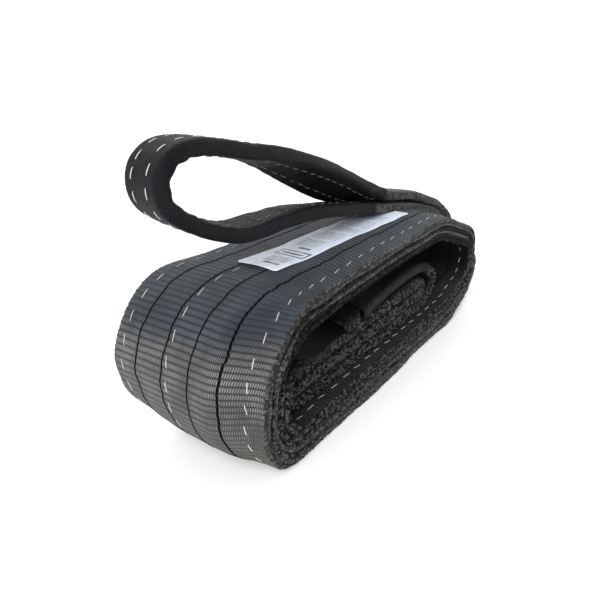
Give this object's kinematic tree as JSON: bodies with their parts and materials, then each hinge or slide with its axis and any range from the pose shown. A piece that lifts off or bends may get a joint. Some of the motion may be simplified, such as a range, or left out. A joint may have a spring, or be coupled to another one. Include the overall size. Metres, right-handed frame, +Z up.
{
  "type": "flat webbing sling",
  "caption": "Flat woven lifting sling with soft sleeved eyes, wound into a long flat roll with one eye standing over its top.",
  "frame": {"origin": "centre of the bounding box on the flat underside that the roll lies on", "axes": "+X along the roll from its nose, under the standing eye, to its tail; +Y across the web; +Z up"},
  "size_m": [0.43, 0.12, 0.2451],
  "materials": {
    "grey_webbing": "woven polyester, cross ribs, slight sheen",
    "marker_yarn": "black woven-in marker yarn",
    "white_thread": "heavy off-white polyester sewing thread",
    "eye_sleeve": "black twill-woven polyester sleeve",
    "label_film": "coated pale label cloth, smooth"
  },
  "bodies": {
    "roll": {"outer_ply": "grey_webbing", "inner_ply": "grey_webbing", "marker_yarn_1": "marker_yarn", "marker_yarn_2": "marker_yarn", "marker_yarn_3": "marker_yarn", "marker_yarn_4": "marker_yarn", "inner_marker_yarns": "marker_yarn", "seam_near": "white_thread", "seam_middle": "white_thread", "seam_far": "white_thread", "label_tag": "label_film", "label_stitching": "white_thread", "outer_throat_stitching": "white_thread", "inner_eye_web": "grey_webbing", "inner_eye_sleeve": "eye_sleeve", "inner_eye_stitching": "white_thread"},
    "outer_eye": {"outer_eye_web": "grey_webbing", "outer_eye_sleeve": "eye_sleeve", "outer_eye_stitching": "white_thread"}
  },
  "joints": [
    {"name": "eye_lift", "type": "hinge", "parent": "roll", "child": "outer_eye", "pos_m": [0.18628, 0, 0.11717], "axis": [0, 1, 0], "range_deg": [0, 110]}
  ]
}
